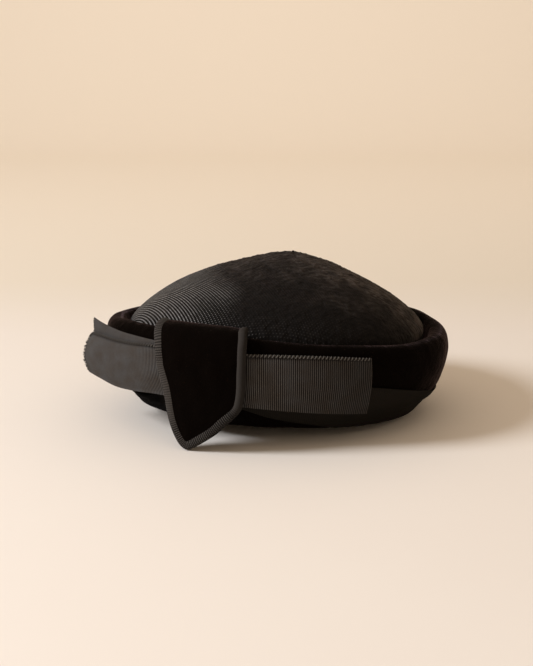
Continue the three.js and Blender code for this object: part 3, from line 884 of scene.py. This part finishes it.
def make_overcasting(name, rows):
    """Slanted silk stitches over a ribbon's top edge."""
    turns, along, length = turns_by_length(rows, RIBBON_RIB / 6)
    shape = Shape()
    steps = np.linspace(0, 1, 6)
    for start in np.arange(1.2, length - 1.2, STITCH):
        places = np.interp(start + 0.9 - 1.8 * steps, along, turns)
        share = (-0.3 + 2.3 * steps) / RIBBON_WIDTH
        lift = 0.5 - 0.7 * (2 * steps - 1) ** 4
        line = [ribbon_face(rows, [t], [s], h)[0, 0] for t, s, h in zip(places, share, lift)]
        dull = 0.3 * float(ramp(-places[0], 130, 6))
        shape.tube(line, 0.38 - 0.3 * dull, 6, (RIBBON_RIB / 2, 0), shade=dull)
    return shape.piece(name, STITCH_SILK)


def make_raw_end(name, rows, *, count, reach, seed):
    """Broken thread ends in small tufts, where a ribbon was cut and not hemmed."""
    rng = np.random.default_rng(seed)
    shape = Shape()
    step = math.degrees(1 / RIM_HALF_X)  # 1 mm round the hat
    places = np.linspace(0.03, 0.99, count) + rng.uniform(-0.01, 0.01, count)
    for share in places:
        tuft = rng.uniform(0.3, 1.0) * reach
        for _ in range(3):
            spread = rng.normal(0, 0.012)
            turns = rows[0][0] - step * np.linspace(-0.9, 0.5 * tuft, 4)
            rise = np.linspace(0, 1, 4) ** 1.5
            line = [
                ribbon_face(rows, [t], [share + spread * r], -0.2 + tuft * r)[0, 0]
                for t, r in zip(turns, rise)
            ]
            line = np.stack(line) + rng.normal(0, 0.15, 3) * rise[:, None]
            shape.tube(line, rng.uniform(0.16, 0.3), 5)
    return shape.piece(name, CUT_THREADS)


# ---- tab and binding ----------------------------------------------------------------------

TAB_ANGLE = math.radians(TAB_TURN)
TAB_RIM = float(rim_height(TAB_ANGLE))
TIP_RISE = TAB_TIP_FLOOR - TAB_RIM  # the tip above the rim, so well below 0
ROUND_SHARE = 0.24  # of the binding's width in front, the part that goes round the tab's edge


def tab_section():
    """The tab's middle line: distance along it, outward place, rise above the rim, thickness."""
    last = TAB_ROWS[-1]
    rows = [*TAB_ROWS]
    for part in (0.33, 0.66, 1.0):
        rows.append((lerp(last[0], TAB_TIP_OUT, part), lerp(last[1], TIP_RISE, part), last[2]))
    rows = np.array(rows, float)
    knots = lengths_along(rows[:, :2])
    dense = np.linspace(0, knots[-1], 600)
    line = smooth_weights(knots, dense) @ rows
    line[:, 1] = np.maximum(line[:, 1], TIP_RISE)
    return dense, line


TAB_ALONG, TAB_LINE = tab_section()
TAB_SLOPE = np.gradient(TAB_LINE[:, :2], TAB_ALONG, axis=0)
TAB_SLOPE /= np.linalg.norm(TAB_SLOPE, axis=1, keepdims=True)


def tab_point(along, side, height):
    """A point `along` the tab from the groove, `side` mm across and `height` off its middle."""
    out, rise = (np.interp(along, TAB_ALONG, TAB_LINE[:, k]) for k in (0, 1))
    slope_out, slope_rise = (np.interp(along, TAB_ALONG, TAB_SLOPE[:, k]) for k in (0, 1))
    out, rise = out - slope_rise * height, rise + slope_out * height
    ring = hat_point(TAB_ANGLE, out, 0)
    radius = np.linalg.norm(ring, axis=-1) - side**2 / (2 * TAB_BACK_RADIUS)
    outward = np.array([math.cos(TAB_ANGLE), math.sin(TAB_ANGLE), 0])
    sideways = np.array([-outward[1], outward[0], 0])
    point = radius[..., None] * outward + side[..., None] * sideways
    point[..., 2] = TAB_RIM + rise
    return point


def tab_thick(along):
    """The tab's thickness at a distance along it."""
    return np.interp(along, TAB_ALONG, TAB_LINE[:, 2])


def tab_outline(spacing):
    """The bound edge laid flat, from the groove down the left, round the tip and up the right:
    its points as (along, side), the direction inward, and the distance along it."""
    corners = np.array([*TAB_LEFT_EDGE, TAB_TIP, *TAB_RIGHT_EDGE[::-1]], float)
    knots = lengths_along(corners)
    dense = smooth_weights(knots, np.linspace(0, knots[-1], 3000)) @ corners
    length = lengths_along(dense)
    places = np.arange(0, length[-1], spacing)
    edge = np.stack([np.interp(places, length, dense[:, k]) for k in (0, 1)], -1)
    run = np.gradient(edge, axis=0)
    run /= np.linalg.norm(run, axis=1, keepdims=True)
    return edge, np.stack([-run[:, 1], run[:, 0]], -1), places


def room_inward(edge, inward):
    """How far each place of the edge can be drawn in before it meets the edge's other side."""
    room = np.full(len(edge), BINDING_WIDTH)
    near = edge[::3]  # every third point is near enough
    for width in np.linspace(BINDING_WIDTH, 0.5, 24):
        drawn = edge + width * inward
        distance = np.linalg.norm(drawn[:, None] - near[None], axis=-1).min(axis=1)
        room = np.where(distance < width - 0.12, np.minimum(room, width), room)
    return room


def make_binding():
    """A narrow ribbon folded over the tab's edge, eased round its corner and its tip."""
    edge, inward, places = tab_outline(BINDING_RIB / 5)
    down, right = edge[:, 0], edge[:, 1] > 0
    right_width = lerp(4.7, 5.6, ease(down, 66, 12))
    drawn = np.where(right, right_width, lerp(BINDING_WIDTH, 5.6, down / 96))
    room = np.minimum(room_inward(edge, inward), drawn)[:, None]

    # The fold's section: in along the front, round the tab's edge and back in behind.
    flat = np.linspace(1, ROUND_SHARE, 9)
    turn = np.linspace(0, np.pi, 9)[1:-1]
    share_in = np.concatenate([flat, ROUND_SHARE * (1 - np.sin(turn)), flat[::-1]])
    share_up = np.concatenate([np.ones(9), np.cos(turn), -np.ones(9)])
    width = np.minimum(BINDING_WIDTH * share_in[None], room * lerp(share_in, 1, 0.1)[None])
    place = edge[:, None] + width[..., None] * inward[:, None]
    half = tab_thick(place[..., 0]) / 2 + GAP + BINDING

    # Its ribs are worn flat above the corner on the right, and in part on the left.
    left_wear = np.where(down < 40, 0.3, 0.6 * ramp(-down, -TAB_BEND, 10))
    wear = np.where(right, ramp(-down, -TAB_CORNER, 8), left_wear)[:, None]
    ridge = 0.3 * (1 - 0.9 * wear) * ribs(places, BINDING_RIB)[:, None] - 0.2
    edge_round = 0.75 * bell(share_in, 1, 0.3)
    outer = tab_point(place[..., 0], place[..., 1], share_up * (half + ridge - edge_round))
    inner = tab_point(place[..., 0], place[..., 1], share_up * (half - 1.0))[:, ::4]
    cloth = np.stack(np.broadcast_arrays(places[:, None], BINDING_WIDTH * share_in[None]), -1)
    cloth = closed_loop(cloth, cloth[:, ::4])
    # Painted shade: the right strip, turned from the light, goes darker above its corner and more
    # where it turns round the tab's edge; the left strip goes a little darker above the bend.
    turned = 1 - np.concatenate([share_in, share_in[::-4]])
    binding_painted_shade = np.where(right & (down < TAB_CORNER), 0.35, 0.15 * (down < TAB_BEND))[:, None]
    binding_painted_shade = binding_painted_shade + 0.35 * turned[None] * right[:, None]
    shape = Shape()
    loop = closed_loop(outer, inner)
    shape.grid(loop, cloth, close_columns=True, wear=wear, shade=binding_painted_shade, beads=1 - wear)
    flat_width = max(lengths_along(line)[-1] for line in outer[::40])
    return shape.piece("tab_binding_ribbon", BINDING_GROSGRAIN), places[-1], flat_width


def make_tab():
    """The velvet tab, softly filled between its bindings."""
    edge, inward, _ = tab_outline(0.5)
    drawn = edge + (BINDING + GAP) * inward
    lowest = int(np.argmax(drawn[:, 0]))
    tip = drawn[lowest, 0]
    along = np.concatenate([np.linspace(0.4, tip - 4, 84), tip - np.array([3, 2, 1.2, 0.5])])
    left = np.interp(along, drawn[:lowest, 0], drawn[:lowest, 1])
    right = np.interp(along, drawn[lowest:, 0][::-1], drawn[lowest:, 1][::-1])
    share = np.linspace(0, 1, 49)
    side = lerp(left[:, None], right[:, None], share[None])
    places = np.broadcast_to(along[:, None], side.shape)
    middle = np.minimum(side - left[:, None], right[:, None] - side)  # distance in from the edge
    middle = np.minimum(middle, tip - places)
    puff = 0.9 * (1 - np.exp(-np.maximum(middle - BINDING_WIDTH + 2, 0) / 6))
    soft = 0.3 * uneven(np.stack([side, places, side], -1), 18, 4)
    soft = soft * ramp(middle, 0, 8) * ramp(places, 24, 16)
    half = tab_thick(places) / 2
    front = tab_point(places, side, half + puff + soft)
    back = tab_point(places, side, -half)
    cloth = np.stack([places, side], -1)
    shape = Shape()
    shape.grid(closed_loop(front, back), closed_loop(cloth, cloth), close_columns=True)
    for end in (0, -1):
        shape.grid(np.stack([front[end], back[end]]), cloth[end])
    return shape.piece("velvet_tab", VELVET)


# ---- dress the hat ------------------------------------------------------------------------

crown = make_crown()
brim = make_brim()
band, band_length, band_area = make_base_band()
front_ribbon, front_length = make_ribbon(
    "front_bow_ribbon", FRONT_RIBBON, seed=11, smooth_before=-127, sewn=0.75
)
back_ribbon, back_length = make_ribbon(
    "back_bow_ribbon", BACK_RIBBON, seed=12, smooth_before=-120, sewn=0.1
)
stitches = make_overcasting("front_ribbon_overcasting", FRONT_RIBBON)
front_raw = make_raw_end("front_ribbon_raw_end", FRONT_RIBBON, count=34, reach=1.5, seed=21)
back_raw = make_raw_end("back_ribbon_raw_end", BACK_RIBBON, count=24, reach=0.6, seed=22)
tab = make_tab()
binding, binding_length, binding_width = make_binding()

for made, node, slot in [
    (crown, "crown", "straw_cloth"),
    (brim, "brim", "velvet"),
    (band, "base_band", "band_grosgrain"),
    (front_ribbon, "bow_ribbon_front", "bow_grosgrain"),
    (back_ribbon, "bow_ribbon_back", "bow_grosgrain"),
    (tab, "bow_tab", "velvet"),
    (binding, "tab_binding", "bow_grosgrain"),
]:
    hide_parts(node)

# The solids under the pieces stay where they are, and don't render.
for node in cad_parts.values():
    node.hide_render = True


# ---- table, light and camera, in metres ---------------------------------------------------

SWEEP_FRONT, SWEEP_BACK = -3.0, 1.5  # where the paper's flat part starts and ends
SWEEP_BEND, SWEEP_TOP, SWEEP_SIDE = 0.6, 3.0, 3.5
CAMERA_PLACE = (AXIS + (-7.76, -1068.9, 298.7)) * MM
CAMERA_TARGET = (AXIS + (-7.76, -62.4, 66.3)) * MM


def make_sweep():
    """A paper sweep: flat where the hat stands, then curved up into a wall."""
    profile = [(SWEEP_FRONT, 0.0), (-0.6, 0.0), (0.5, 0.0)]
    for turn in np.linspace(0, np.pi / 2, 24):
        rise = SWEEP_BEND * (1 - math.cos(turn))
        profile.append((SWEEP_BACK + SWEEP_BEND * math.sin(turn), rise))
    profile.append((SWEEP_BACK + SWEEP_BEND, SWEEP_TOP))
    points = [(x, y, z) for y, z in profile for x in (-SWEEP_SIDE, SWEEP_SIDE)]
    faces = [(2 * i, 2 * i + 1, 2 * i + 3, 2 * i + 2) for i in range(len(profile) - 1)]
    mesh = bpy.data.meshes.new("paper_sweep")
    mesh.from_pydata(points, [], faces)
    mesh.shade_smooth()
    mesh.materials.append(paper())
    sweep = bpy.data.objects.new("paper_sweep", mesh)
    bpy.context.scene.collection.objects.link(sweep)


def look_at(thing, place, target):
    """Puts a lamp or camera at a place, turned to the target, into the scene."""
    thing.location = place
    run = np.array(target, float) - np.array(place, float)
    flat = math.hypot(run[0], run[1])
    thing.rotation_euler = (
        math.pi / 2 + math.atan2(run[2], flat),
        0,
        math.atan2(run[1], run[0]) - math.pi / 2,
    )
    bpy.context.scene.collection.objects.link(thing)
    return thing


def soft_light(name, place, target, size, watts, colour):
    """A round lamp `size` metres across."""
    lamp = bpy.data.lights.new(name, "AREA")
    lamp.shape, lamp.size, lamp.energy = "DISK", size, watts
    lamp.color = linear(colour)[:3]
    return look_at(bpy.data.objects.new(name, lamp), place, target)


make_sweep()
soft_light(
    "window_left", (-2.0, -0.56, 1.36), (0.3, -1.2, 0), size=0.88, watts=69, colour="#f2f6fd"
)
soft_light("wall_wash", (0.0, 0.5, 1.9), (0, 2.1, 1.8), size=1.2, watts=19, colour="#fff4f0")

world = bpy.data.worlds.new("warm room")
bpy.context.scene.world = world
world.use_nodes = True
world.node_tree.nodes["Background"].inputs[0].default_value = linear("#fce5cb")
world.node_tree.nodes["Background"].inputs[1].default_value = 0.58

lens = bpy.data.cameras.new("camera")
lens.lens, lens.sensor_width = 85, 36
camera = look_at(bpy.data.objects.new("camera", lens), CAMERA_PLACE, CAMERA_TARGET)
bpy.context.scene.camera = camera
bpy.context.scene.view_settings.view_transform = "Standard"
